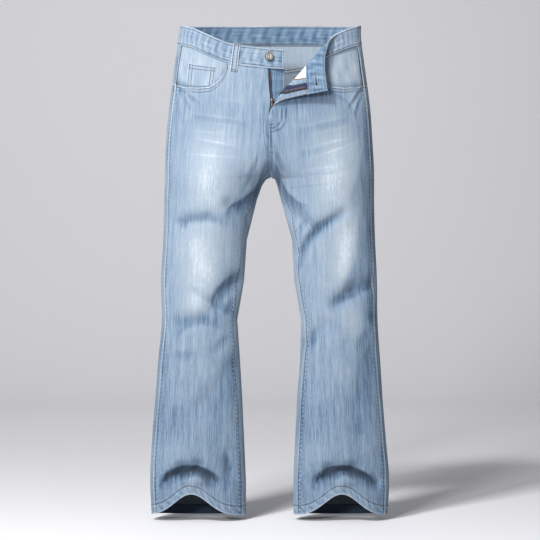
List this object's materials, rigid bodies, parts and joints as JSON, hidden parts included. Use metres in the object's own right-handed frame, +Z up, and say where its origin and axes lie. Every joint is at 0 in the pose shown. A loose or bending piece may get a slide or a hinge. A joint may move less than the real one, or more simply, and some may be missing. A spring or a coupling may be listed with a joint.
{
  "type": "bootcut jeans",
  "caption": "Washed pale-blue bootcut jeans filled out as worn, with the fly open and one corner of the waist folded out.",
  "frame": {"origin": "middle of the waist opening, level with the waistband's upper half at the sides, where the wearer's waist holds it", "axes": "+Z up out of the waist, -Y the front with the fly, +X the wearer's left"},
  "size_m": [0.5245, 0.1858, 1.0862],
  "materials": {
    "washed_denim": "matte",
    "denim_inside": "matte",
    "denim_loops": "matte",
    "pocket_cotton": "matte",
    "zip_tape": "matte",
    "zip_copper": "satin",
    "button_nickel": "satin"
  },
  "bodies": {
    "jeans": {"front_right": "washed_denim", "front_left": "washed_denim", "back_right": "washed_denim", "back_left": "washed_denim", "yoke_right": "washed_denim", "yoke_left": "washed_denim", "waistband_back": "washed_denim", "waistband_right": "washed_denim", "waistband_left": "washed_denim", "loop_front_right": "denim_loops", "loop_front_left": "denim_loops", "loop_back_right": "denim_loops", "loop_back_left": "denim_loops", "loop_back_middle": "denim_loops", "pocket_facing_right": "washed_denim", "pocket_facing_left": "washed_denim", "coin_pocket": "denim_loops", "pocket_bag_left": "pocket_cotton", "back_pocket_right": "denim_loops", "back_pocket_left": "denim_loops", "fly_facing_left": "denim_inside", "zip_tape_left": "zip_tape", "zip_chain_left": "zip_copper", "fly_shield": "denim_inside", "zip_tape_right": "zip_tape", "zip_chain_right": "zip_copper", "hem_right": "denim_inside", "hem_left": "denim_inside", "button": "button_nickel", "zip_slider": "zip_copper"},
    "pull_tab": {"zip_pull_tab": "zip_copper"}
  },
  "joints": [
    {"name": "pull_tab_hinge", "type": "hinge", "parent": "jeans", "child": "pull_tab", "pos_m": [0.0021, -0.068, -0.151], "axis": [-1, 0, 0], "range_deg": [0, 150]}
  ]
}
